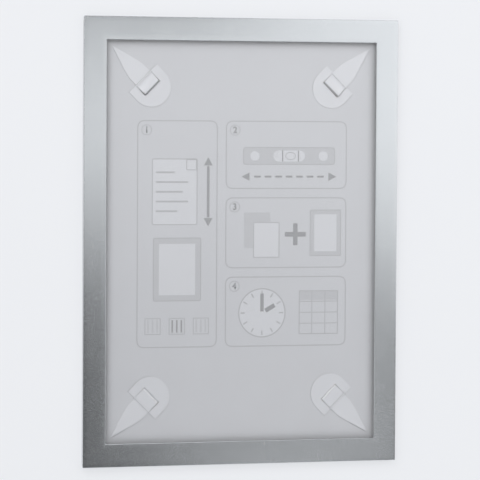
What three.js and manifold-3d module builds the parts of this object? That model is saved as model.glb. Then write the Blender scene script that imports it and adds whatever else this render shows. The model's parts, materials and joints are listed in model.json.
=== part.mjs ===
// Self-adhesive magnetic display frame for an A4 sheet, closed and stuck to a wall.
// Millimetres, +Z up. The wall is the plane y = 0, the frame faces -Y, and the origin
// is the centre of the wall plane. Depth always means distance out from the wall.
import * as THREE from 'three';
import { mergeVertices } from 'three/addons/utils/BufferGeometryUtils.js';
import Module from 'manifold-3d';

const wasm = await Module();
wasm.setup();

// The document that the frame shows, and what surrounds it in the plane of the wall
const documentWidth = 210;
const documentHeight = 297;
const documentPlay = 0.5; // free space between the document and the magnet strips
const magnetWidth = 12;
const edgeInset = 0.5; // the inner layers stop this far inside the outer edge
const faceOverlap = 3.75; // how far the silver face covers the document's margin
const outerRadius = 0.4; // corners of the silver face
const layerRadius = 0.6; // corners of the hidden films
const stripRadius = 0.4; // corners of the magnet strips
const buttGap = 0.3; // between two pieces that meet end to end

// Thicknesses, from the wall outwards
const padThickness = 0.9;
const backThickness = 0.3;
const magnetThickness = 1.2;
const magnetEdge = 0.1; // softened edges of the strips
const closingGap = 0.1; // lacquer and air between the two magnet layers
const filmThickness = 0.2; // the window and the hinge are cut from one film
const faceThickness = 0.6;

// Rounded edges
const faceEdge = 0.25; // round the outside and the window, where they catch a line of light
const edgeSteps = 2; // facets across each rounded edge

// Hinge film along the left edge
const hingeLeaf = 12; // width of each bonded leaf
const hingeEndInset = 3; // the film is shorter than the frame at both ends
const hingeBend = 0.3; // inner radius where the film turns round the edge
const hingeAxisOffset = 0.15; // the cover turns about a line just outside the edge

// Corner fastening, along the diagonal from the window's corner towards the middle
const tabTip = 6.5;
const tabShoulder = 33; // where the pointed end reaches its full width
const tabBelly = 28; // the sides are nearly straight up to here, and round off to the shoulder
const tabRise = 4.4; // past the bar, the springy film climbs for this length
const tabLift = 0.35; // height of that crest over the back sheet
const tabDip = 4.2; // from the crest down through the slot
const tabTongue = 8; // bonded length behind the back sheet
const tabWidth = 14.4;
const tabThickness = 0.3;
const tabPlay = 0.4; // beside the tab, in everything that it passes through
const patchEdge = 38.4; // straight edge of the D-shaped patch
const patchWidth = 29;
const patchStraight = 8.8; // straight sides before the round end
const patchThickness = 0.4;
const strapWidth = 1; // thin bar of the patch that holds the tab down
const strapRun = 1; // the tab lies flat for this length past the bar
const strapRise = 1.3; // length of each ramp up to the bar
const strapGap = 0.1; // between the tab and the bar over it
const padInset = 1; // the adhesive pad is this much smaller than the patch all round

// Sizes that follow
const surround = documentPlay + magnetWidth + edgeInset;
const outerWidth = documentWidth + 2 * surround;
const outerHeight = documentHeight + 2 * surround;
const windowWidth = documentWidth - 2 * faceOverlap;
const windowHeight = documentHeight - 2 * faceOverlap;
const layerWidth = outerWidth - 2 * edgeInset;
const layerHeight = outerHeight - 2 * edgeInset;

const backRear = padThickness;
const backFront = backRear + backThickness;
const seamRear = backFront + magnetThickness;
const seamFront = seamRear + closingGap;
const filmRear = seamFront + magnetThickness;
const faceRear = filmRear + filmThickness;
const faceFront = faceRear + faceThickness;

const barEnd = patchEdge + strapWidth;
const tabRiseStart = barEnd + strapRun;
const tabCrest = tabRiseStart + tabRise;
const tabDipEnd = tabCrest + tabDip;
const tabEnd = tabDipEnd + tabTongue;
const passWidth = tabWidth + 2 * tabPlay;
const slotStart = tabCrest + tabDip / 4; // the descending film is still over the sheet here
const slotEnd = tabDipEnd + tabPlay;

const seamMiddle = (seamRear + seamFront) / 2;
export const hingeAxis = new THREE.Vector3(-outerWidth / 2 - hingeAxisOffset, -seamMiddle, 0);

const corners = [
  { name: 'top_left', x: -1, z: 1 },
  { name: 'top_right', x: 1, z: 1 },
  { name: 'bottom_left', x: -1, z: -1 },
  { name: 'bottom_right', x: 1, z: -1 },
].map((corner) => ({
  ...corner,
  turn: Math.atan2(corner.z, -corner.x),
  at: new THREE.Vector3((corner.x * windowWidth) / 2, 0, (corner.z * windowHeight) / 2),
}));

const finishes = {
  silver: { color: 0xb4b7ba, roughness: 0.34, metalness: 0.75 },
  window: { color: 0xeef1f3, roughness: 0.12, metalness: 0, transparent: true, opacity: 0.2 },
  back: { color: 0xcdd0d3, roughness: 0.5, metalness: 0 },
  patch: { color: 0xdcdfe1, roughness: 0.35, metalness: 0 },
  tab: { color: 0xd6d9dc, roughness: 0.4, metalness: 0 },
  foam: { color: 0xe9e8e3, roughness: 0.85, metalness: 0 },
  magnet: { color: 0x35332f, roughness: 0.7, metalness: 0.1 },
  hinge: { color: 0xbfc2c5, roughness: 0.4, metalness: 0.3 },
};

// A closed outline with round corners, centred on (centreX, centreZ)
function roundedRectangle(width, height, radius, centreX = 0, centreZ = 0) {
  const shape = new THREE.Shape();
  const right = centreX + width / 2 - radius;
  const left = centreX - width / 2 + radius;
  const top = centreZ + height / 2 - radius;
  const bottom = centreZ - height / 2 + radius;
  const quarter = Math.PI / 2;
  shape.absarc(right, top, radius, 0, quarter);
  shape.absarc(left, top, radius, quarter, 2 * quarter);
  shape.absarc(left, bottom, radius, 2 * quarter, 3 * quarter);
  shape.absarc(right, bottom, radius, 3 * quarter, 4 * quarter);
  shape.closePath();
  return shape;
}

function rectangle(left, bottom, right, top) {
  return new THREE.Shape([
    new THREE.Vector2(left, bottom),
    new THREE.Vector2(right, bottom),
    new THREE.Vector2(right, top),
    new THREE.Vector2(left, top),
  ]);
}

// A flat layer parallel to the wall: the outline's y becomes height, its thickness grows outwards
function layer(outline, rear, thickness, curveSegments = 4) {
  const geometry = new THREE.ExtrudeGeometry(outline, {
    depth: thickness,
    bevelEnabled: false,
    curveSegments,
  });
  return geometry.rotateX(Math.PI / 2).translate(0, -rear, 0);
}

// A layer with softened edges, also round its holes, still `thickness` thick and as wide as its outline
function softLayer(outline, rear, thickness, edge) {
  const geometry = new THREE.ExtrudeGeometry(outline, {
    depth: thickness - 2 * edge,
    bevelThickness: edge,
    bevelSize: edge,
    bevelOffset: -edge,
    bevelSegments: edgeSteps,
    curveSegments: 4,
  });
  return geometry.rotateX(Math.PI / 2).translate(0, -rear - edge, 0);
}

// A profile of (position along the corner's diagonal, depth), extruded across the diagonal
function across(profile, width) {
  const geometry = new THREE.ExtrudeGeometry(profile, {
    depth: width,
    bevelEnabled: false,
    curveSegments: 8,
  });
  return geometry.translate(0, 0, -width / 2).rotateX(Math.PI);
}

function toSolid(geometry) {
  const bare = geometry.clone();
  bare.deleteAttribute('normal');
  bare.deleteAttribute('uv');
  const merged = mergeVertices(bare, 1e-5);
  const mesh = new wasm.Mesh({
    numProp: 3,
    vertProperties: Float32Array.from(merged.attributes.position.array),
    triVerts: Uint32Array.from(merged.index.array),
  });
  return new wasm.Manifold(mesh);
}

function fromSolid(solid) {
  const mesh = solid.getMesh();
  const geometry = new THREE.BufferGeometry();
  geometry.setAttribute('position', new THREE.BufferAttribute(mesh.vertProperties, 3));
  geometry.setIndex(new THREE.BufferAttribute(mesh.triVerts, 1));
  geometry.computeVertexNormals();
  return geometry;
}

function piece(name, geometry, finish) {
  const mesh = new THREE.Mesh(geometry, new THREE.MeshStandardMaterial(finishes[finish]));
  mesh.name = name;
  return mesh;
}

// Where a point of a corner's own frame lies on the back sheet
function onSheet(corner, along, sideways) {
  const point = new THREE.Vector3(along, 0, sideways);
  point.applyAxisAngle(new THREE.Vector3(0, 1, 0), corner.turn).add(corner.at);
  return new THREE.Vector2(point.x, point.z);
}

// Thin plastic sheet with a slot in each corner for the pull tab
function backSheet() {
  const outline = roundedRectangle(layerWidth, layerHeight, layerRadius);
  for (const corner of corners) {
    const slot = [
      onSheet(corner, slotStart, -passWidth / 2),
      onSheet(corner, slotEnd, -passWidth / 2),
      onSheet(corner, slotEnd, passWidth / 2),
      onSheet(corner, slotStart, passWidth / 2),
    ];
    outline.holes.push(new THREE.Path(slot));
  }
  return piece('back_sheet', layer(outline, backRear, backThickness), 'back');
}

// Four strips round the document: the side strips run full height, the others fit between
function magnetStrips(prefix, rear) {
  const sideOffset = (layerWidth - magnetWidth) / 2;
  const endOffset = (layerHeight - magnetWidth) / 2;
  const endLength = layerWidth - 2 * (magnetWidth + buttGap);
  const strips = [
    ['left', magnetWidth, layerHeight, -sideOffset, 0],
    ['right', magnetWidth, layerHeight, sideOffset, 0],
    ['top', endLength, magnetWidth, 0, endOffset],
    ['bottom', endLength, magnetWidth, 0, -endOffset],
  ];
  return strips.map(([side, width, height, x, z]) => {
    const outline = roundedRectangle(width, height, stripRadius, x, z);
    const strip = softLayer(outline, rear, magnetThickness, magnetEdge);
    return piece(`${prefix}_magnet_${side}`, strip, 'magnet');
  });
}

// The D: a straight edge towards the window's corner, a half circle towards the middle
function dOutline(inset) {
  const radius = patchWidth / 2 - inset;
  const straightEnd = patchEdge + patchStraight;
  const shape = new THREE.Shape();
  shape.moveTo(patchEdge + inset, -radius);
  shape.lineTo(straightEnd, -radius);
  shape.absarc(straightEnd, 0, radius, -Math.PI / 2, Math.PI / 2);
  shape.lineTo(patchEdge + inset, radius);
  shape.closePath();
  return shape;
}

// Raised bar: it climbs over the tab from one arm of the patch and comes down on the other
function strapSolid() {
  const under = passWidth / 2;
  const foot = under + strapRise;
  const seat = foot + strapWidth;
  const low = backFront;
  const high = backFront + tabThickness + strapGap;
  const profile = new THREE.Shape();
  profile.moveTo(-seat, low);
  profile.lineTo(-foot, low);
  profile.lineTo(-under, high);
  profile.lineTo(under, high);
  profile.lineTo(foot, low);
  profile.lineTo(seat, low);
  profile.lineTo(seat, low + patchThickness);
  profile.lineTo(foot, low + patchThickness);
  profile.lineTo(under, high + patchThickness);
  profile.lineTo(-under, high + patchThickness);
  profile.lineTo(-foot, low + patchThickness);
  profile.lineTo(-seat, low + patchThickness);
  profile.closePath();
  const bar = across(profile, strapWidth).rotateY(Math.PI / 2);
  return toSolid(bar.translate(patchEdge + strapWidth / 2, 0, 0));
}

// D-shaped film patch with the opening that the tab passes through, closed by the raised bar
function patchGeometry() {
  const body = toSolid(layer(dOutline(0), backFront, patchThickness, 16));
  const halfPass = passWidth / 2;
  const foot = halfPass + strapRise;
  const opening = rectangle(patchEdge + strapWidth / 2, -halfPass, tabDipEnd, halfPass);
  const barRoom = rectangle(patchEdge - strapWidth, -foot, barEnd, foot);
  const cutDepth = 2 * patchThickness;
  const cutRear = backFront - patchThickness / 2;
  return fromSolid(
    body
      .subtract(toSolid(layer(opening, cutRear, cutDepth)))
      .subtract(toSolid(layer(barRoom, cutRear, cutDepth)))
      .add(strapSolid()),
  );
}

// Side view of the pull tab: flat on the sheet, over a low crest, down through the slot, flat again
function tabBend() {
  const rest = backFront;
  const crest = backFront + tabLift;
  const tongue = backRear - tabThickness;
  const climb = (tabRiseStart + tabCrest) / 2;
  const descent = (tabCrest + tabDipEnd) / 2;
  const bend = new THREE.Shape();
  bend.moveTo(0, rest);
  bend.lineTo(tabRiseStart, rest);
  bend.bezierCurveTo(climb, rest, climb, crest, tabCrest, crest);
  bend.bezierCurveTo(descent, crest, descent, tongue, tabDipEnd, tongue);
  bend.lineTo(tabEnd, tongue);
  bend.lineTo(tabEnd, tongue + tabThickness);
  bend.lineTo(tabDipEnd, tongue + tabThickness);
  const [restFront, crestFront, tongueFront] = [rest, crest, tongue].map((d) => d + tabThickness);
  bend.bezierCurveTo(descent, tongueFront, descent, crestFront, tabCrest, crestFront);
  bend.bezierCurveTo(climb, crestFront, climb, restFront, tabRiseStart, restFront);
  bend.lineTo(0, restFront);
  bend.closePath();
  return bend;
}

// Pull tab: a pointed leaf in front of the back sheet that dips through the slot to the pad
function tabGeometry() {
  const half = tabWidth / 2;
  const leaf = new THREE.Shape();
  leaf.moveTo(tabTip, 0);
  leaf.quadraticCurveTo(tabBelly, -half, tabShoulder, -half);
  leaf.lineTo(tabEnd, -half);
  leaf.lineTo(tabEnd, half);
  leaf.lineTo(tabShoulder, half);
  leaf.quadraticCurveTo(tabBelly, half, tabTip, 0);

  const ribbon = toSolid(across(tabBend(), patchWidth));
  return fromSolid(ribbon.intersect(toSolid(layer(leaf, 0, faceFront, 12))));
}

// Adhesive foam pad on the wall side, with a shallow pocket where the tab's tongue is bonded
function padGeometry() {
  const body = toSolid(layer(dOutline(padInset), 0, padThickness, 16));
  const halfPass = passWidth / 2;
  const pocket = rectangle(slotStart, -halfPass, tabEnd + tabPlay, halfPass);
  const pocketRear = backRear - tabThickness;
  return fromSolid(body.subtract(toSolid(layer(pocket, pocketRear, 2 * tabThickness))));
}

function cornerFastenings() {
  const patch = patchGeometry();
  const tab = tabGeometry();
  const pad = padGeometry();
  return corners.map((corner) => {
    const unit = new THREE.Group();
    unit.position.copy(corner.at);
    unit.rotation.y = corner.turn;
    unit.add(
      piece(`mounting_patch_${corner.name}`, patch.clone(), 'patch'),
      piece(`pull_tab_${corner.name}`, tab.clone(), 'tab'),
      piece(`adhesive_pad_${corner.name}`, pad.clone(), 'foam'),
    );
    return unit;
  });
}

// One film folded round the left edge, bonded behind the back sheet and behind the silver face
function hingeFilm() {
  const outer = hingeBend + filmThickness;
  const edge = -outerWidth / 2;
  const tip = edge + hingeLeaf;
  const turn = edge + outer; // where both leaves start
  const rear = backRear - filmThickness;
  const front = faceRear;
  const quarter = Math.PI / 2;
  const profile = new THREE.Shape();
  profile.moveTo(tip, -rear);
  profile.lineTo(turn, -rear);
  profile.absarc(turn, -rear - outer, outer, quarter, 2 * quarter);
  profile.lineTo(edge, -front + outer);
  profile.absarc(turn, -front + outer, outer, 2 * quarter, 3 * quarter);
  profile.lineTo(tip, -front);
  profile.lineTo(tip, -front + filmThickness);
  profile.absarc(turn, -front + outer, hingeBend, 3 * quarter, 2 * quarter, true);
  profile.absarc(turn, -rear - outer, hingeBend, 2 * quarter, quarter, true);
  profile.lineTo(tip, -rear - filmThickness);
  profile.closePath();
  const length = outerHeight - 2 * hingeEndInset;
  const geometry = new THREE.ExtrudeGeometry(profile, {
    depth: length,
    bevelEnabled: false,
    curveSegments: 4,
  });
  return piece('hinge_film', geometry.translate(0, 0, -length / 2), 'hinge');
}

// Silver face in one piece, with square corners to its window
function frontFrame() {
  const outline = roundedRectangle(outerWidth, outerHeight, outerRadius);
  const halfWidth = windowWidth / 2;
  const halfHeight = windowHeight / 2;
  outline.holes.push(rectangle(-halfWidth, -halfHeight, halfWidth, halfHeight));
  return piece('front_frame', softLayer(outline, faceRear, faceThickness, faceEdge), 'silver');
}

// Clear film behind the face: it stops beside the hinge leaf and reaches the other three edges
function windowFilm() {
  const left = -outerWidth / 2 + hingeLeaf + buttGap;
  const right = layerWidth / 2;
  const outline = roundedRectangle(right - left, layerHeight, layerRadius, (left + right) / 2);
  return piece('window_film', layer(outline, filmRear, filmThickness), 'window');
}

// The cover's group has its origin on the hinge axis, so that turning it about Z opens the frame
function cover() {
  const group = new THREE.Group();
  group.position.copy(hingeAxis);
  for (const part of [frontFrame(), windowFilm(), ...magnetStrips('front', seamFront)]) {
    part.position.sub(hingeAxis);
    group.add(part);
  }
  return group;
}

function back() {
  const group = new THREE.Group();
  return group.add(backSheet(), ...magnetStrips('back', backFront), ...cornerFastenings(), hingeFilm());
}

const frame = new THREE.Group();
frame.add(back(), cover());

export default frame;
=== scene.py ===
# %% [markdown]
# # A magnetic display frame on a wall
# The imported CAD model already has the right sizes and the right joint. This notebook dresses it: the
# pieces whose edges and bends catch the light are modelled again with Blender's own tools, and the
# others get their finish. Each piece rides on the body that carries it, so that the silver cover can
# still swing open on its hinge film.

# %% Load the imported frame
import json
import math

import bmesh
import bpy
from mathutils import Matrix, Vector


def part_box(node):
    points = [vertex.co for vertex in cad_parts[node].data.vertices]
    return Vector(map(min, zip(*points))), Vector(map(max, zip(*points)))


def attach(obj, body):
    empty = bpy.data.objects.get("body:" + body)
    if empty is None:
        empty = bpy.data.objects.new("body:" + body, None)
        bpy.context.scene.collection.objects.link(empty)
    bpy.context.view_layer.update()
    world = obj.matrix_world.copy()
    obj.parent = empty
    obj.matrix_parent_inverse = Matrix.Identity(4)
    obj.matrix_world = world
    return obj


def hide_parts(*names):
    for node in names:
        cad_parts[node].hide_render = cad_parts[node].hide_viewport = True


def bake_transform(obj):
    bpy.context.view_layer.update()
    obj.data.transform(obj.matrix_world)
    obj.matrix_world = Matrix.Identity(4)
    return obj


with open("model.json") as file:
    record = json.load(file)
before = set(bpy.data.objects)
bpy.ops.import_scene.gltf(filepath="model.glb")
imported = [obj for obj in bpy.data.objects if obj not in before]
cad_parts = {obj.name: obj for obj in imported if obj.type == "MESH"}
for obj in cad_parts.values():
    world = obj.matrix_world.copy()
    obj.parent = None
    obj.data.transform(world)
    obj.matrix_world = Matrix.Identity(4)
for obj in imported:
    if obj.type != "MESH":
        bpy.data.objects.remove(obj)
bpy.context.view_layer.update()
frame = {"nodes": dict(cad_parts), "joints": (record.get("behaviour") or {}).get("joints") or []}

MM = 0.001

# %% [markdown]
# ## Sizes
# A new piece that takes the place of a CAD node has to lie where the node lies. So the outer sizes and
# the depths of the layers are read from the nodes' boxes, and only what a box can't tell is written
# out: the window in the silver face and the shape of a corner fastening. Depth is counted along -Y,
# out from the wall.

# %% Read the layers
face_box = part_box("front_frame")
face_rear, face_front = face_box[1].y, face_box[0].y
outer_width = face_box[1].x - face_box[0].x
outer_height = face_box[1].z - face_box[0].z
sheet_rear, sheet_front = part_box("back_sheet")[1].y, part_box("back_sheet")[0].y
film_rear, film_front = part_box("window_film")[1].y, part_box("window_film")[0].y
window_width, window_height = 202.5 * MM, 289.5 * MM
print(f"face {outer_width / MM:.1f} x {outer_height / MM:.1f} mm, front at {face_front / MM:.2f} mm")
print(f"window film from {film_rear / MM:.2f} to {film_front / MM:.2f} mm")

# %% [markdown]
# ## Camera
# The photograph was taken from a long way off with a long lens, a little from the left. The place and
# the lens were found from the eight corners of the silver face, so the outline falls where it does in
# the photograph. The camera leans by a third of a degree.

# %% Place the camera
CAMERA_PLACE = (-0.60270, -2.08542, 0.08135)
CAMERA_YAW, CAMERA_PITCH, CAMERA_ROLL = math.radians(16.106), math.radians(-2.12), math.radians(0.323)
CAMERA_LENS = 224.66  # millimetres, on a sensor of 36


def look(yaw, pitch, roll):
    """The turn of a camera that looks along +Y at yaw 0, and to the right of it as yaw grows"""
    forward = Vector((
        math.sin(yaw) * math.cos(pitch), math.cos(yaw) * math.cos(pitch), math.sin(pitch)))
    level = Vector((math.cos(yaw), -math.sin(yaw), 0))
    upright = level.cross(forward)
    right = math.cos(roll) * level + math.sin(roll) * upright
    return Matrix((right, right.cross(forward), -forward)).transposed().to_4x4()


bpy.ops.object.camera_add()
camera = bpy.context.object
camera.matrix_world = Matrix.Translation(CAMERA_PLACE) @ look(CAMERA_YAW, CAMERA_PITCH, CAMERA_ROLL)
camera.data.sensor_width = 36
camera.data.lens = CAMERA_LENS
camera.data.clip_end = 30
bpy.context.scene.camera = camera
bpy.context.scene.view_settings.view_transform = "Standard"
print("camera", tuple(round(value, 3) for value in camera.location))

# %% [markdown]
# ## A small language for finishes
# A finish is a graph of shader nodes. Building one node by node takes many lines, so two small classes
# do it: a wire stands for an output socket and can be added and multiplied like a number, and a finish
# adds any node by its type, its settings and the values of its sockets.

# %% Wires and finishes
class Wire:
    """An output socket. Arithmetic on wires adds the Math nodes that work it out."""

    def __init__(self, finish, socket):
        self.finish, self.socket = finish, socket

    def maths(self, operation, *values):
        return self.finish.add("ShaderNodeMath", {"operation": operation}, dict(enumerate(values)))

    def __add__(self, other):
        return self.maths("ADD", self, other)

    def __radd__(self, other):
        return self.maths("ADD", other, self)

    def __sub__(self, other):
        return self.maths("SUBTRACT", self, other)

    def __rsub__(self, other):
        return self.maths("SUBTRACT", other, self)

    def __mul__(self, other):
        return self.maths("MULTIPLY", self, other)

    def __rmul__(self, other):
        return self.maths("MULTIPLY", other, self)

    def __abs__(self):
        return self.maths("ABSOLUTE", self)

    def largest(self, other):
        return self.maths("MAXIMUM", self, other)

    def ramp(self, start, end):
        """0 before start, 1 after end, and smooth between them"""
        settings = {"interpolation_type": "SMOOTHSTEP"}
        sockets = {"Value": self, "From Min": start, "From Max": end}
        return self.finish.add("ShaderNodeMapRange", settings, sockets)


class Finish:
    """The node graph of a material, or of the world"""

    def __init__(self, owner):
        owner.use_nodes = True
        self.owner, self.tree = owner, owner.node_tree
        self.tree.nodes.clear()

    def add(self, kind, settings=None, sockets=None, output=0):
        node = self.tree.nodes.new(kind)
        for name, value in (settings or {}).items():
            setattr(node, name, value)
        for name, value in (sockets or {}).items():
            if isinstance(value, Wire):
                self.tree.links.new(value.socket, node.inputs[name])
            else:
                node.inputs[name].default_value = value
        return Wire(self, node.outputs[output]) if node.outputs else None

    def place(self):
        """Object coordinates, in metres"""
        return self.add("ShaderNodeTexCoord", output="Object")

    def noise(self, size, detail=2.0, roughness=0.5):
        """Random blotches about `size` metres across"""
        sockets = {"Vector": self.place(), "Scale": 1 / size, "Detail": detail, "Roughness": roughness}
        return self.add("ShaderNodeTexNoise", {}, sockets)

    def mix(self, share, first, second):
        colours = {"Factor": share, 6: first, 7: second}
        return self.add("ShaderNodeMix", {"data_type": "RGBA"}, colours, output=2)

    def beyond(self, half_width, half_height):
        """How far a point lies outside an upright rectangle about the origin, less than 0 inside it"""
        across, up = (self.add("ShaderNodeSeparateXYZ", {}, {0: self.place()}, output=axis)
                      for axis in "XZ")
        return (abs(across) - half_width).largest(abs(up) - half_height)

    def dot(self, first, second):
        vectors = {0: first, 1: second}
        return self.add("ShaderNodeVectorMath", {"operation": "DOT_PRODUCT"}, vectors, output="Value")

    def bump(self, height, depth):
        """A surface normal from a height between 0 and 1, over a relief of `depth` metres"""
        return self.add("ShaderNodeBump", {}, {"Height": height, "Distance": depth, "Strength": 1.0})

    def principled(self, **sockets):
        """A surface whose sockets are given in lower case, as base_color is for Base Color"""
        titles = {name: name.replace("_", " ").title().replace("Ior", "IOR") for name in sockets}
        named = {titles[name]: value for name, value in sockets.items()}
        return self.add("ShaderNodeBsdfPrincipled", {}, named)

    def show(self, surface, kind="ShaderNodeOutputMaterial"):
        self.add(kind, {}, {"Surface": surface})
        return self.owner


def grey(level, blue=0.0):
    """A colour of that linear level. Extra blue brings a quarter as much extra green."""
    return (level, level * (1 + blue / 4), level * (1 + blue), 1.0)


print("half grey:", grey(0.5), "and with a tenth more blue:", grey(0.5, 0.1))

# %% [markdown]
# ## Light
# Silver lacquer has hardly a colour of its own: it shows what stands in front of it. A large softbox
# stands at the upper right, where the face mirrors it towards the camera, so the face is bright at the
# upper right and falls off to the lower left. A strip is mirrored at the upper left, and a dimmer card
# at the bottom. A softbox above, on the left, lights the wall and the films, and gives the soft shadows
# on the right and under the frame. The last one stands behind the wall and lights the back, for views
# from there.

# %% Softboxes
def softbox(name, place, width, height, radiance, aim=None, roll=0.0):
    """An evenly bright rectangle that faces `aim`, or straight at the wall"""
    place = Vector(place)
    direction = (Vector(aim) - place) if aim else Vector((0, 1, 0))
    lamp = bpy.data.lights.new(name, "AREA")
    lamp.shape = "RECTANGLE"
    lamp.size, lamp.size_y = width, height
    lamp.energy = radiance * math.pi * width * height
    box = bpy.data.objects.new(name, lamp)
    bpy.context.scene.collection.objects.link(box)
    turn = direction.to_track_quat("-Z", "Y").to_matrix().to_4x4()
    box.matrix_world = Matrix.Translation(place) @ turn @ Matrix.Rotation(roll, 4, "Z")
    box.visible_camera = False
    print(f"{name}: {lamp.energy:.1f} W")


MIRRORED_ROLL = math.radians(-17.1)  # the slant at which the bars turn from light to dark
softbox("mirrored_softbox", (0.871, -1.0, 0.463), 0.995, 1.271, 1.35, roll=MIRRORED_ROLL)
softbox("mirrored_strip", (0.061, -1.0, 0.108), 0.346, 0.234, 1.40, roll=MIRRORED_ROLL)
softbox("low_card", (0.350, -1.0, -0.351), 0.30, 0.333, 0.74)
softbox("top_softbox", (-0.55, -0.9, 0.95), 1.2, 0.6, 3.3, aim=(0, 0, 0))
softbox("rear_softbox", (-1.2, 2.4, 1.6), 1.8, 1.8, 1.5, aim=(0, 0, 0))

# %% [markdown]
# ## Studio
# The room is bright all round, which fills the films with soft light. It is dim only where the silver
# face mirrors it towards the camera, so that the softboxes draw the bars, and a little less bright
# behind. The wall is a pale matte sheet that only the camera sees, and only from the front: then the
# frame still drops its shadow on it, while light and views from behind pass through. What the camera
# sees past everything, and what the glossy films see beyond the wall, is as pale as the wall itself.

# %% Room, wall and floor
DIM, BRIGHT, REAR = grey(0.035), grey(1.0), grey(0.75)
DIM_WAY = (0.27, -0.96, -0.04)  # the middle of the dim part, and how wide it is
DIM_CORE, DIM_EDGE = math.radians(32), math.radians(54)
PALE = (0.86, 0.875, 0.905, 1.0)
WALL_GLOW = 0.75
WALL_SIZE, FLOOR_SIZE, FLOOR_LEVEL = 6.0, 3.2, -1.6

world = bpy.data.worlds.new("studio")
bpy.context.scene.world = world
room = Finish(world)
ray = {name: room.add("ShaderNodeLightPath", output=name)
       for name in ("Is Camera Ray", "Is Glossy Ray", "Is Transmission Ray")}
direction = room.add("ShaderNodeTexCoord", output="Generated")
towards_wall = room.add("ShaderNodeSeparateXYZ", {}, {0: direction}, output="Y").ramp(-0.1, 0.3)
pale_share = ray["Is Camera Ray"] + (ray["Is Glossy Ray"] + ray["Is Transmission Ray"]) * towards_wall
nearness = room.dot(direction, DIM_WAY)
walls = room.mix(nearness.ramp(math.cos(DIM_EDGE), math.cos(DIM_CORE)), BRIGHT, DIM)
walls = room.mix(towards_wall, walls, REAR)
seen_colour = {"Color": room.mix(pale_share, walls, PALE), "Strength": 1.0}
room.show(room.add("ShaderNodeBackground", {}, seen_colour), "ShaderNodeOutputWorld")


def painted_wall():
    """Matte paint that only the camera sees, from the front. Its own glow thins the shadow on it."""
    finish = Finish(bpy.data.materials.new("wall_paint"))
    paint = finish.principled(base_color=PALE, roughness=1.0, specular_ior_level=0.0)
    glow = finish.add("ShaderNodeEmission", {}, {"Color": PALE, "Strength": 1.0})
    paint = finish.add("ShaderNodeMixShader", {}, {0: WALL_GLOW, 1: paint, 2: glow})
    front = 1 - finish.add("ShaderNodeNewGeometry", output="Backfacing")
    seen = finish.add("ShaderNodeLightPath", output="Is Camera Ray") * front
    clear = finish.add("ShaderNodeBsdfTransparent")
    return finish.show(finish.add("ShaderNodeMixShader", {}, {0: seen, 1: clear, 2: paint}))


def stage_sheet(name, size, location, rotation, material):
    bpy.ops.object.select_all(action="DESELECT")
    bpy.ops.mesh.primitive_plane_add(size=size, location=location, rotation=rotation)
    sheet = bpy.context.object
    sheet.name = name
    sheet.data.materials.append(material)


def floor_paint():
    finish = Finish(bpy.data.materials.new("floor_paint"))
    return finish.show(finish.principled(base_color=PALE, roughness=1.0, specular_ior_level=0.0))


wall_middle = FLOOR_LEVEL + WALL_SIZE / 2
stage_sheet("wall", WALL_SIZE, (0, 0, wall_middle), (math.pi / 2, 0, 0), painted_wall())
stage_sheet("floor", FLOOR_SIZE, (0, 0, FLOOR_LEVEL), (0, 0, 0), floor_paint())

# %% [markdown]
# ## Finishes
# Every surface here is a film, a lacquer, a foam or a magnet sheet. Each has a fine relief and slight
# changes of tone, which come from noise in Object coordinates, so the pattern stays on the piece when
# the cover swings. The silver face and the back film also carry painted shade, and the cut edges of
# the corner films painted highlights.

# %% Silver lacquer
def silver_lacquer():
    """Metal flakes in a satin lacquer: the flakes make a fine sparkle, and the coat is a little wavy.

    The rear is dark unlacquered plastic. A thin dark line along the edge of the window, in the same
    plastic, is painted shade."""
    finish = Finish(bpy.data.materials.new("silver_lacquer"))
    flakes = finish.noise(0.35 * MM, detail=1.0)
    cloud = finish.noise(30 * MM, detail=3.0)
    tone = flakes * 0.6 + cloud * 0.4
    colour = finish.mix(tone, (0.550, 0.575, 0.600, 1), (0.648, 0.675, 0.702, 1))
    rough = 0.243 + flakes * 0.04 + cloud * 0.01
    outward = finish.add("ShaderNodeTexCoord", output="Normal")
    rear = finish.add("ShaderNodeSeparateXYZ", {}, {0: outward}, output="Y").ramp(0.8, 0.9)
    # painted shade: a thin dark line along the window's edge, drawn in the rear's dark plastic
    painted_window_line = 1 - finish.beyond(window_width / 2, window_height / 2).ramp(0.02 * MM, 0.12 * MM)
    bare_rear_and_painted_line = rear.largest(painted_window_line)
    return finish.show(finish.principled(
        base_color=finish.mix(bare_rear_and_painted_line, colour, grey(0.05)), metallic=1 - bare_rear_and_painted_line,
        roughness=rough + bare_rear_and_painted_line * 0.3, normal=finish.bump(flakes, 0.002 * MM)))


# %% Clear film
def clear_film():
    """A clear film, matted against glare: it mirrors 2%, more at a slant, and passes the rest"""
    finish = Finish(bpy.data.materials.new("clear_film"))
    matting = finish.noise(0.6 * MM)
    slant = finish.add("ShaderNodeLayerWeight", {}, {"Blend": 0.5}, output="Facing")
    mirrored = 0.022 + 0.5 * slant.maths("POWER", slant, 5.0)
    skin = finish.principled(
        base_color=(0.97, 0.98, 0.99, 1), metallic=1.0, roughness=0.22 + matting * 0.04)
    clear = finish.add("ShaderNodeBsdfTransparent", {}, {"Color": (0.99, 0.99, 0.99, 1)})
    return finish.show(finish.add("ShaderNodeMixShader", {}, {0: mirrored, 1: clear, 2: skin}))


# %% Translucent films
MILKY = 0.065  # the milk in the films scatters a little more blue


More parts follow.
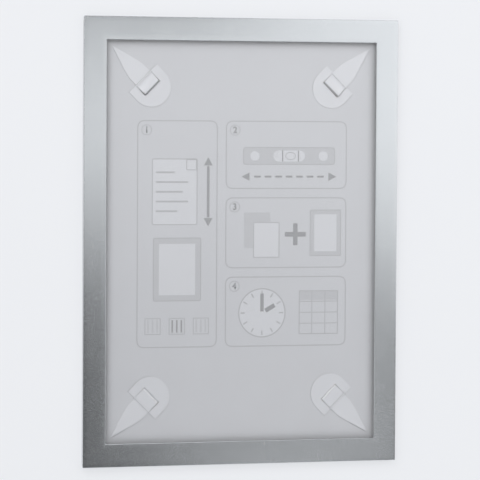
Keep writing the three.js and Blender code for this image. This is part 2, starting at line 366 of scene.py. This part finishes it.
def frosted_film(name, dark, light, roughness, relief, painted_border_shade=None, painted_rim_light=None):
    """Milky plastic film with a fine frosted skin.

    Given a half width, a half height and a shade, it is darkened beyond that rectangle: painted shade
    that fades in over 11.5 mm before the edge, at the window's edge and under the magnet strips. Given
    a way, its cut edges that face that way get a painted highlight, and those that face away painted
    shade."""
    finish = Finish(bpy.data.materials.new(name))
    frost = finish.noise(0.5 * MM, detail=3.0, roughness=0.6)
    cloud = finish.noise(22 * MM, detail=2.0)
    colour = finish.mix(frost * 0.5 + cloud * 0.5, grey(dark, MILKY), grey(light, MILKY))
    if painted_border_shade:
        half_width, half_height, shade = painted_border_shade
        # painted shade: darker from 11.5 mm before the rectangle's edge outwards
        painted_border_share = finish.beyond(half_width, half_height).ramp(-11.5 * MM, 0.4 * MM)
        colour = finish.mix(painted_border_share, colour, grey(shade, MILKY))
    if painted_rim_light:
        # painted highlight on cut edges facing the given way, painted shade on those facing away
        facing_painted_light = finish.dot(finish.add("ShaderNodeTexCoord", output="Normal"), painted_rim_light)
        colour = finish.mix(facing_painted_light.ramp(0.1, 0.8), colour, grey(0.95))
        colour = finish.mix((0 - facing_painted_light).ramp(0.1, 0.8), colour, grey(0.30))
    return finish.show(finish.principled(
        base_color=colour, roughness=roughness + (frost - 0.5) * 0.08,
        normal=finish.bump(frost, relief)))


# %% Foam, magnet sheet and inks
POLE_PITCH = 3 * MM


def adhesive_foam():
    """White closed-cell foam: small cells, lighter on their rims"""
    finish = Finish(bpy.data.materials.new("adhesive_foam"))
    cells = finish.add("ShaderNodeTexVoronoi", {}, {"Vector": finish.place(), "Scale": 1 / (0.35 * MM)})
    colour = finish.mix(cells, (0.84, 0.83, 0.79, 1), (0.68, 0.67, 0.63, 1))
    return finish.show(finish.principled(
        base_color=colour, roughness=0.85, normal=finish.bump(1 - cells, 0.04 * MM)))


def magnet_sheet():
    """Ferrite bound in rubber, with the faint stripes of its poles"""
    finish = Finish(bpy.data.materials.new("magnet_sheet"))
    speck = finish.noise(0.3 * MM, detail=3.0)
    height = finish.add("ShaderNodeSeparateXYZ", {}, {0: finish.place()}, output="Z")
    phase = height * (2 * math.pi / POLE_PITCH)
    poles = phase.maths("SINE", phase) * 0.5 + 0.5
    tone = speck * 0.8 + poles * 0.2
    colour = finish.mix(tone, (0.022, 0.021, 0.020, 1), (0.060, 0.056, 0.052, 1))
    return finish.show(finish.principled(
        base_color=colour, roughness=0.55 + speck * 0.2, normal=finish.bump(speck, 0.02 * MM)))


def ink(name, level):
    """Matte grey ink, a little uneven where it covers the film"""
    finish = Finish(bpy.data.materials.new(name))
    cover = finish.noise(0.8 * MM, detail=2.0)
    colour = finish.mix(cover, grey(level * 0.94, MILKY), grey(level * 1.06, MILKY))
    return finish.show(finish.principled(base_color=colour, roughness=0.5 + cover * 0.1))


finishes = {
    "silver": silver_lacquer(),
    "clear": clear_film(),
    # painted shade on the back film at the window's edge and under the magnet strips
    "sheet": frosted_film("back_film", 0.61, 0.65, 0.42, 0.012 * MM,
                          painted_border_shade=(105.5 * MM, 149 * MM, 0.40)),
    # painted highlights and painted shade on the cut edges of the patch and the tab
    "patch": frosted_film("patch_film", 0.68, 0.72, 0.30, 0.006 * MM, painted_rim_light=(0.75, 0, -0.66)),
    "tab": frosted_film("tab_film", 0.70, 0.74, 0.30, 0.008 * MM, painted_rim_light=(0.1, 0, 1.0)),
    "hinge": frosted_film("hinge_film", 0.50, 0.56, 0.38, 0.008 * MM),
    "foam": adhesive_foam(),
    "magnet": magnet_sheet(),
    "shade": ink("shade_ink", 0.565),
    "light": ink("light_ink", 0.685),
    "line": ink("line_ink", 0.50),
    "accent": ink("accent_ink", 0.37),
}
print("finishes:", ", ".join(sorted(finishes)))

# %% [markdown]
# ## Tools for modelling
# An operator acts on whatever is selected. These helpers do what a hand and a mouse do: let go of
# everything, open one piece for editing, and pick faces, edges or corners by where they are.

# %% Pick, edit and settle
def let_go():
    if bpy.context.object and bpy.context.object.mode != "OBJECT":
        bpy.ops.object.mode_set(mode="OBJECT")
    bpy.ops.object.select_all(action="DESELECT")


def pick_up(*pieces):
    let_go()
    for piece in pieces:
        piece.select_set(True)
    bpy.context.view_layer.objects.active = pieces[0]


def edit(piece):
    pick_up(piece)
    bpy.ops.object.mode_set(mode="EDIT")
    bpy.ops.mesh.select_all(action="SELECT")


def choose(kind, test):
    """In edit mode, select the verts, edges or faces that pass the test, and nothing else"""
    mesh = bpy.context.object.data
    bpy.ops.mesh.select_mode(type={"verts": "VERT", "edges": "EDGE", "faces": "FACE"}[kind])
    bpy.ops.mesh.select_all(action="DESELECT")
    form = bmesh.from_edit_mesh(mesh)
    chosen = [element for element in getattr(form, kind) if test(element)]
    for element in chosen:
        element.select_set(True)
    bmesh.update_edit_mesh(mesh, loop_triangles=False)
    return len(chosen)


def middle(element):
    """The middle of an edge or a face"""
    return sum((vert.co for vert in element.verts), Vector()) / len(element.verts)


def settle(piece, name=None):
    """Object mode, with the piece's place and turn in its mesh"""
    pick_up(piece)
    bpy.ops.object.transform_apply(location=True, rotation=True, scale=True)
    if name:
        piece.name = piece.data.name = name
    return piece


def modify(piece, kind, **settings):
    """Add a modifier, set it and apply it"""
    pick_up(piece)
    modifier = piece.modifiers.new(kind.lower(), kind)
    for setting, value in settings.items():
        setattr(modifier, setting, value)
    bpy.ops.object.modifier_apply(modifier=modifier.name)


def soften(piece, angle=35):
    """Smooth shading over the rounded edges, while the flats stay flat"""
    pick_up(piece)
    bpy.ops.object.shade_smooth_by_angle(angle=math.radians(angle))
    modify(piece, "WEIGHTED_NORMAL", keep_sharp=True)


def dress(piece, body, finish, slot, *nodes):
    """Hand the piece over: its finish, the nodes it stands for and the body it rides on. The slot is
    not used.
    """
    piece.data.materials.clear()
    piece.data.materials.append(finishes[finish])
    if nodes:
        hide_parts(*nodes)
    if body:
        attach(piece, body)
    print(f"{piece.name}: {len(piece.data.polygons)} faces, rides on {body or 'both bodies'}")
    return piece


# %% [markdown]
# ## The silver face
# The face is one stamped sheet of plastic, lacquered silver, with a window. Each bar is crowned: it
# falls back by less than a tenth of a millimetre to both edges, which bends the reflection there. The
# edges are rounded and show as thin bright lines where they turn towards the light. It starts as one
# plane, because insets give every bar the same width and the same crown. The last inset is deleted to
# open the window, the free edges are drawn back to the film, and a bevel rounds them.

# %% Model the silver face
OUTER_ROUNDING, WINDOW_ROUNDING, CORNER_ROUNDING = 0.25 * MM, 0.4 * MM, 0.4 * MM
CROWN_DEPTH, CROWN_RUN, CROWN_STEPS = 0.08 * MM, 4.0 * MM, 5
border = (outer_width - window_width) / 2


def crown(step):
    """How far a bar has fallen back, so many steps in from its edge"""
    return CROWN_DEPTH * (1 - step / CROWN_STEPS) ** 2


def silver_face():
    let_go()
    edge_level = face_front + CROWN_DEPTH
    bpy.ops.mesh.primitive_plane_add(
        size=1, location=(0, edge_level, 0), rotation=(math.pi / 2, 0, 0))
    face = settle(bpy.context.object, "silver_face")
    edit(face)
    bpy.ops.transform.resize(
        value=(outer_width, 1, outer_height), center_override=(0, edge_level, 0))
    for step in range(CROWN_STEPS):
        bpy.ops.mesh.inset(thickness=CROWN_RUN / CROWN_STEPS, depth=crown(step) - crown(step + 1))
    bpy.ops.mesh.inset(thickness=border - 2 * CROWN_RUN, depth=0)
    for step in reversed(range(CROWN_STEPS)):
        bpy.ops.mesh.inset(thickness=CROWN_RUN / CROWN_STEPS, depth=crown(step + 1) - crown(step))
    bpy.ops.mesh.delete(type="FACE")
    choose("edges", lambda edge: edge.is_boundary)
    bpy.ops.mesh.extrude_edges_move(TRANSFORM_OT_translate={"value": (0, face_rear - edge_level, 0)})
    bpy.ops.mesh.bridge_edge_loops()
    bpy.ops.mesh.select_all(action="SELECT")
    bpy.ops.mesh.normals_make_consistent(inside=False)

    outside = lambda point: (abs(point.x) > (outer_width + window_width) / 4
                             or abs(point.z) > (outer_height + window_height) / 4)
    upright = lambda edge: abs((edge.verts[0].co - edge.verts[1].co).y) > 0.3 * MM
    choose("edges", lambda edge: upright(edge) and outside(middle(edge)))
    bpy.ops.mesh.bevel(offset=CORNER_ROUNDING, segments=6, affect="EDGES")
    in_front = lambda edge: all(abs(vert.co.y - edge_level) < 1e-6 for vert in edge.verts)
    steep = lambda edge: len(edge.link_faces) == 2 and edge.calc_face_angle(0) > math.radians(60)
    for is_outside, rounding in ((True, OUTER_ROUNDING), (False, WINDOW_ROUNDING)):
        choose("edges", lambda edge: in_front(edge) and steep(edge)
               and outside(edge.verts[0].co) == is_outside)
        bpy.ops.mesh.bevel(offset=rounding, segments=6, affect="EDGES")
    settle(face)
    soften(face)
    return dress(face, "front", "silver", "silver_face", "front_frame")


silver_face()

# %% [markdown]
# ## Nodes whose shape is right
# The films, pads and magnet strips have their real shape in the CAD model, so they stay and only get
# their finish.

# %% Finish the CAD nodes
def finish_node(name, finish):
    node = frame["nodes"][name]
    node.data.materials.clear()
    node.data.materials.append(finishes[finish])


for name in frame["nodes"]:
    if name == "back_sheet":
        finish_node(name, "sheet")
    elif name == "window_film":
        finish_node(name, "clear")
    elif "magnet" in name:
        finish_node(name, "magnet")
    elif name.startswith("adhesive_pad"):
        finish_node(name, "foam")
print("CAD nodes kept:", sum(not node.hide_render for node in frame["nodes"].values()))

# %% [markdown]
# ## Corner fastenings
# Each corner holds the frame to the wall. A D-shaped film patch is bonded over a slot in the back
# sheet, and a pointed pull tab runs under the patch's thin bar, through the opening and the slot, to
# the adhesive pad behind. Both are modelled on a bench at the origin, where X runs along the corner's
# diagonal towards the middle of the frame, and then turned into the corners: the patch once for all
# four, and each tab by itself, because no two of them lie the same way.

# %% Where the corners are
CORNERS = {"top_left": (-1, 1), "top_right": (1, 1), "bottom_left": (-1, -1), "bottom_right": (1, -1)}


def into_corner(bench_piece, name, side, level):
    """A copy with its own mesh, turned from the bench into one corner of the window"""
    piece = bench_piece.copy()
    piece.data = bench_piece.data.copy()
    bpy.context.scene.collection.objects.link(piece)
    place = Matrix.Translation((side * window_width / 2, 0, level * window_height / 2))
    piece.matrix_world = place @ Matrix.Rotation(math.atan2(level, -side), 4, "Y")
    return settle(piece, name)


for corner, (side, level) in CORNERS.items():
    print(corner, "turned by", round(math.degrees(math.atan2(level, -side))), "degrees")

# %% [markdown]
# The patch is a half disc on two straight sides. It could be drawn as a curve, but a disc cut in half
# and drawn out takes three moves. Cuts across it then mark the opening and the bar. The bar is split
# from its neighbours and lifted over the tab, and is joined again at its two feet.

# %% Model the patch
PATCH_EDGE, PATCH_RADIUS, PATCH_STRAIGHT = 38.4 * MM, 14.5 * MM, 8.8 * MM
PATCH_THICKNESS = 0.4 * MM
OPENING_HALF, OPENING_END = 7.6 * MM, 49.0 * MM
BAR_END, BAR_FOOT, BAR_LIFT = 39.4 * MM, 8.9 * MM, 0.4 * MM


def cut(along=None, across=None):
    """Cut the whole piece at a place along X or at a place along Z"""
    bpy.ops.mesh.select_all(action="SELECT")
    point = (along or 0, 0, across or 0)
    normal = (1, 0, 0) if across is None else (0, 0, 1)
    bpy.ops.mesh.bisect(plane_co=point, plane_no=normal)


def bench_patch():
    let_go()
    straight_end = PATCH_EDGE + PATCH_STRAIGHT
    bpy.ops.mesh.primitive_circle_add(
        vertices=96, radius=PATCH_RADIUS, fill_type="NGON",
        location=(straight_end, sheet_front, 0), rotation=(math.pi / 2, 0, 0))
    patch = settle(bpy.context.object, "bench_patch")
    edit(patch)
    bpy.ops.mesh.bisect(plane_co=(straight_end, 0, 0), plane_no=(1, 0, 0), clear_inner=True)
    choose("edges", lambda edge: abs(middle(edge).x - straight_end) < 1e-6)
    bpy.ops.mesh.extrude_edges_move(TRANSFORM_OT_translate={"value": (-PATCH_STRAIGHT, 0, 0)})
    for place in (BAR_END, OPENING_END):
        cut(along=place)
    for place in (BAR_FOOT, OPENING_HALF, -OPENING_HALF, -BAR_FOOT):
        cut(across=place)

    def in_opening(face):
        centre = middle(face)
        return BAR_END < centre.x < OPENING_END and abs(centre.z) < OPENING_HALF

    choose("faces", in_opening)
    bpy.ops.mesh.delete(type="FACE")
    choose("faces", lambda face: middle(face).x < BAR_END and abs(middle(face).z) < BAR_FOOT)
    bpy.ops.mesh.split()
    choose("verts", lambda vert: vert.co.x < BAR_END + 1e-6 and abs(vert.co.z) < OPENING_HALF + 1e-6
           and not any(middle(face).x > BAR_END for face in vert.link_faces))
    bpy.ops.transform.translate(value=(0, -BAR_LIFT, 0))
    bpy.ops.mesh.select_all(action="SELECT")
    bpy.ops.mesh.remove_doubles(threshold=0.01 * MM)
    bpy.ops.mesh.normals_make_consistent(inside=False)
    facing = bmesh.from_edit_mesh(patch.data).faces
    if sum(face.normal.y * face.calc_area() for face in facing) > 0:
        bpy.ops.mesh.flip_normals()
    settle(patch)
    modify(patch, "SOLIDIFY", thickness=PATCH_THICKNESS, offset=1.0)
    modify(patch, "BEVEL", width=0.16 * MM, segments=3,
           limit_method="ANGLE", angle_limit=math.radians(50))
    soften(patch)
    return patch


patch_on_bench = bench_patch()
for corner, (side, level) in CORNERS.items():
    patch = into_corner(patch_on_bench, f"film_patch_{corner}", side, level)
    dress(patch, "back", "patch", "patch_film", f"mounting_patch_{corner}")
bpy.data.objects.remove(patch_on_bench)

# %% [markdown]
# The pull tab is one strip of springy film. Its free end is a long point that lies in the corner of the
# window. Past the bar it arches a little, dives through the slot and lies flat behind the sheet. A grid
# is the right start for a strip that changes its width and its height along its length: each row of
# corners is drawn in and lifted in turn.

# %% Model the pull tab
TAB_TIP, TAB_BELLY, TAB_SHOULDER, TAB_END = 6.5 * MM, 28.0 * MM, 33.0 * MM, 57.0 * MM
TAB_HALF, TAB_THICKNESS = 7.2 * MM, 0.3 * MM
TAB_RISE, TIP_CURL, TIP_CURL_END = 40.4 * MM, 0.25 * MM, 26 * MM
TAB_ROWS, TAB_LANES = 160, 6
# Each tab was pushed through by hand: how high it arches, where its crest is and where it is down
# again, all in millimetres, and its twist between, in degrees
TAB_LIES = {"top_left": (1.1, 47.1, 48.9, 3), "top_right": (1.1, 47.1, 48.9, -3),
            "bottom_left": (0.08, 47.6, 47.95, 0), "bottom_right": (0.08, 47.9, 48.25, 0)}


def tab_half_width(along):
    """The point's sides are arcs of a parabola: nearly straight, and rounded off at the shoulder"""
    if along >= TAB_SHOULDER:
        return TAB_HALF
    reach, turn = 2 * (TAB_BELLY - TAB_TIP), 2 * TAB_BELLY - TAB_TIP - TAB_SHOULDER
    way = (reach - math.sqrt(reach * reach - 4 * turn * (along - TAB_TIP))) / (2 * turn)
    return TAB_HALF * (2 * way - way * way)


def ease(value, start, end):
    share = min(max((value - start) / (end - start), 0), 1)
    return share * share * (3 - 2 * share)


def tab_rear(along, lift, crest, down):
    """How far the tab's rear face is from the wall"""
    depth = -sheet_front + lift * ease(along, TAB_RISE, crest)
    tongue = -sheet_rear - TAB_THICKNESS
    depth += (tongue + sheet_front - lift) * ease(along, crest, down)
    return depth + TIP_CURL * (1 - ease(along, TAB_TIP, TIP_CURL_END))


def bench_tab(lift, crest, down, twist):
    lift, crest, down = lift * MM, crest * MM, down * MM
    let_go()
    length = TAB_END - TAB_TIP
    bpy.ops.mesh.primitive_grid_add(x_subdivisions=TAB_ROWS, y_subdivisions=TAB_LANES, size=1,
                                    rotation=(math.pi / 2, 0, 0))
    tab = settle(bpy.context.object, "bench_tab")
    edit(tab)
    bpy.ops.transform.resize(value=(length, 1, 2 * TAB_HALF), center_override=(0, 0, 0))
    bpy.ops.transform.translate(value=(TAB_TIP + length / 2, 0, 0))
    for row in range(TAB_ROWS + 1):
        along = TAB_TIP + length * row / TAB_ROWS
        choose("verts", lambda vert: abs(vert.co.x - along) < 0.01 * MM)
        narrowing = tab_half_width(along) / TAB_HALF
        bpy.ops.transform.resize(value=(1, 1, narrowing), center_override=(along, 0, 0))
        here = ease(along, TAB_RISE, crest) * (1 - ease(along, crest, down))
        if twist and here:
            bpy.ops.transform.rotate(value=math.radians(twist * here), orient_axis="X",
                                     center_override=(along, 0, 0))
        bpy.ops.transform.translate(value=(0, -tab_rear(along, lift, crest, down), 0))
    bpy.ops.mesh.select_all(action="SELECT")
    bpy.ops.mesh.remove_doubles(threshold=0.005 * MM)
    settle(tab)
    modify(tab, "SOLIDIFY", thickness=TAB_THICKNESS, offset=1.0)
    modify(tab, "BEVEL", width=0.07 * MM, segments=2,
           limit_method="ANGLE", angle_limit=math.radians(60))
    soften(tab)
    return tab


for corner, (side, level) in CORNERS.items():
    tab_on_bench = bench_tab(*TAB_LIES[corner])
    tab = into_corner(tab_on_bench, f"pointed_tab_{corner}", side, level)
    dress(tab, "back", "tab", "tab_film", f"pull_tab_{corner}")
    bpy.data.objects.remove(tab_on_bench)

# %% [markdown]
# ## The print on the back sheet
# The back sheet carries a faint printed block of four picture panels. Its layout and its pictures are
# made up. Each mark is a plane or a disc, scaled to size, with its corners bevelled where it is round
# and its middle inset and taken out where it is a line. The marks of one ink are joined into one thin
# skin, and each ink lies a hair over the one before, so that they never share a face.

# %% Tools for printing
INK_STEP = 0.008 * MM
printed = {"shade": [], "light": [], "line": [], "accent": []}


def mark(ink_name, x, z, width, height, sides=4, corner=0.0, line=0.0, turn=0.0):
    """One flat shape, in millimetres: filled, or only its outline where `line` is the line's width"""
    let_go()
    placing = {"location": (x * MM, 0, z * MM), "rotation": (math.pi / 2, math.radians(turn), 0)}
    if sides == 4:
        bpy.ops.mesh.primitive_plane_add(size=1, **placing)
    else:
        bpy.ops.mesh.primitive_circle_add(vertices=sides, radius=0.5, fill_type="NGON", **placing)
    piece = bpy.context.object
    piece.scale = (width * MM, height * MM, 1)
    settle(piece)
    edit(piece)
    if corner:
        bpy.ops.mesh.bevel(offset=corner * MM, segments=4, affect="VERTICES")
    if line:
        bpy.ops.mesh.select_all(action="SELECT")
        bpy.ops.mesh.inset(thickness=line * MM)
        bpy.ops.mesh.delete(type="FACE")
    settle(piece)
    printed[ink_name].append(piece)


def numeral(number, x, z, height):
    let_go()
    bpy.ops.object.text_add(location=(x * MM, 0, z * MM), rotation=(math.pi / 2, 0, 0))
    text = bpy.context.object
    text.data.body = str(number)
    text.data.size = height * MM
    text.data.offset = 0.18 * MM  # bolder strokes
    text.data.align_x, text.data.align_y = "CENTER", "CENTER"
    bpy.ops.object.convert(target="MESH")
    printed["accent"].append(settle(bpy.context.object))


def panel(number, left, bottom, right, top):
    mark("line", (left + right) / 2, (bottom + top) / 2, right - left, top - bottom, corner=5, line=0.8)
    mark("line", left + 7, top - 7, 8, 8, sides=24, line=0.6)
    numeral(number, left + 7, top - 7, 6.5)


# %% [markdown]
# The first panel is tall. It shows a sheet with lines of text and a folded corner, its height between
# two arrowheads, a framed sheet below, and three small swatches.

# %% Print the first panel
def first_panel():
    panel(1, -78, -76.5, -18, 87.5)
    mark("light", -50, 36, 34, 48, corner=1.5)
    mark("line", -50, 36, 34, 48, corner=1.5, line=0.7)
    mark("line", -37.5, 55.5, 8, 8, corner=1, line=0.6)
    for row, length in enumerate((14, 24, 20, 24, 16)):
        mark("line", -64 + length / 2, 50 - 7 * row, length, 1.3)
    mark("accent", -25, 36, 2, 37)
    for end, turn in ((1, 0), (-1, 180)):
        mark("accent", -25, 36 + 21 * end, 7.5, 8, sides=3, turn=turn)
    mark("shade", -48, -20, 36, 46, corner=1.5)
    mark("light", -48, -20, 27, 37)
    mark("line", -48, -20, 36, 46, corner=1.5, line=0.7)
    for column in range(3):
        centre = -66 + 18 * column
        mark("line", centre, -61, 12, 12, line=0.6)
        for stripe in range(-1, 2):
            mark("accent" if column == 1 else "shade", centre + 3.4 * stripe, -61, 1.2, 9)


first_panel()

# %% [markdown]
# The second panel shows a spirit level over a dashed line between two marks.

# %% Print the second panel
def second_panel():
    panel(2, -12, 38, 80, 87.5)
    mark("shade", 36, 62, 70, 13, corner=2.5)
    mark("line", 36, 62, 70, 13, corner=2.5, line=0.7)
    mark("light", 36, 62, 24, 8, corner=3.9)
    mark("line", 37, 62, 8, 6, sides=24, line=0.6)
    for tick in (31, 43):
        mark("accent", tick, 62, 0.9, 8)
    for end in (-1, 1):
        mark("light", 36 + 26 * end, 62, 7, 7, sides=24)
        mark("accent", 36 + 32 * end, 47, 7, 8, sides=3, turn=90 * end)
    for dash in range(7):
        mark("accent", 12 + 8 * dash, 47, 5, 1.4)


second_panel()

# %% [markdown]
# The third panel shows a stack of sheets, a plus sign and a framed sheet.

# %% Print the third panel
def third_panel():
    panel(3, -12, -19.5, 80, 32)
    mark("shade", 12, 8, 20, 26, corner=1)
    mark("light", 19, 1, 20, 26, corner=1)
    mark("line", 19, 1, 20, 26, corner=1, line=0.7)
    mark("accent", 41, 5, 3.4, 16)
    for side in (-1, 1):
        mark("accent", 41 + 4.85 * side, 5, 6.3, 3.4)
    mark("shade", 64, 6, 24, 34, corner=1)
    mark("light", 64, 6, 17, 27)
    mark("line", 64, 6, 24, 34, corner=1, line=0.7)


third_panel()

# %% [markdown]
# The fourth panel shows a clock and a small table.

# %% Print the fourth panel
def fourth_panel():
    panel(4, -12, -76.5, 80, -25.5)
    mark("light", 16, -52, 36, 36, sides=48)
    mark("line", 16, -52, 36, 36, sides=48, line=0.9)
    for hour in range(12):
        way = math.radians(30 * hour)
        mark("line", 16 + 14.5 * math.sin(way), -52 + 14.5 * math.cos(way), 1, 3.4, turn=30 * hour)
    for start, length, width, turn in ((3, 8, 3.2, 60), (1, 13, 2.6, 0)):
        way, reach = math.radians(turn), start + length / 2
        x, z = 16 + reach * math.sin(way), -52 + reach * math.cos(way)
        mark("accent", x, z, width, length, turn=turn)
    mark("shade", 59, -39.5, 30, 7)
    mark("line", 59, -52, 30, 32, line=0.7)
    for row in range(1, 4):
        mark("line", 59, -36 - 8 * row, 30, 0.6)
    for column in (-5, 5):
        mark("line", 59 + column, -52, 0.6, 32)


fourth_panel()

# %% Join each ink
for order, (ink_name, marks) in enumerate(printed.items(), start=1):
    pick_up(*marks)
    bpy.ops.object.join()
    skin = settle(bpy.context.object, f"print_{ink_name}")
    edit(skin)
    bpy.ops.transform.translate(value=(0, sheet_front - order * INK_STEP, 0))
    settle(skin)
    modify(skin, "SOLIDIFY", thickness=INK_STEP / 4, offset=0.0)
    dress(skin, "back", ink_name, "back_film")

# %% [markdown]
# ## The hinge film
# One film is bonded behind the back sheet, turns round the left edge and is bonded behind the silver
# face. Its profile is drawn by moving one edge: spun round each turn and extruded along the flats. The
# middle of its side gets many rows of corners, because the whole fold happens there when the cover
# swings.

# %% Model the hinge film
HINGE_THICKNESS, HINGE_BEND, HINGE_LEAF = 0.2 * MM, 0.4 * MM, 12.0 * MM
hinge_axis = Vector(frame["joints"][0]["pos_m"])
FOLD_HALF, FOLD_ROWS = 0.3 * MM, 10


def hinge_film():
    left, far = -outer_width / 2 + HINGE_THICKNESS / 2, -outer_width / 2 + HINGE_LEAF
    near_wall = sheet_rear + HINGE_THICKNESS / 2
    near_face = film_front + HINGE_THICKNESS / 2
    length = outer_height - 6 * MM
    turn = left + HINGE_BEND
    let_go()
    bpy.ops.mesh.primitive_plane_add(size=1, rotation=(math.pi / 2, 0, 0))
    film = settle(bpy.context.object, "folded_hinge_film")
    edit(film)
    bpy.ops.transform.resize(value=(far - turn, 1, length), center_override=(0, 0, 0))
    bpy.ops.transform.translate(value=((far + turn) / 2, near_wall, 0))
    choose("edges", lambda edge: all(abs(vert.co.x - turn) < 1e-7 for vert in edge.verts))
    side_start, side_end = near_wall - HINGE_BEND, near_face + HINGE_BEND
    bpy.ops.mesh.spin(steps=6, angle=-math.pi / 2, center=(turn, side_start, 0), axis=(0, 0, 1))
    stops = [hinge_axis.y + FOLD_HALF - 2 * FOLD_HALF * row / FOLD_ROWS
             for row in range(FOLD_ROWS + 1)]
    for here, there in zip([side_start] + stops, stops + [side_end]):
        bpy.ops.mesh.extrude_edges_move(TRANSFORM_OT_translate={"value": (0, there - here, 0)})
    bpy.ops.mesh.spin(steps=6, angle=-math.pi / 2, center=(turn, side_end, 0), axis=(0, 0, 1))
    bpy.ops.mesh.extrude_edges_move(TRANSFORM_OT_translate={"value": (far - turn, 0, 0)})
    bpy.ops.mesh.select_all(action="SELECT")
    bpy.ops.mesh.remove_doubles(threshold=0.005 * MM)
    bpy.ops.mesh.normals_make_consistent(inside=False)
    settle(film)
    modify(film, "SOLIDIFY", thickness=HINGE_THICKNESS, offset=0.0)
    pick_up(film)
    bpy.ops.object.shade_smooth_by_angle(angle=math.radians(40))
    dress(film, None, "hinge", "hinge_film", "hinge_film")
    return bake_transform(film)


hinge = hinge_film()
low, high = (Vector(function(vert.co[axis] for vert in hinge.data.vertices) for axis in range(3))
             for function in (min, max))
print("hinge film from", tuple(round(value / MM, 2) for value in low),
      "to", tuple(round(value / MM, 2) for value in high))
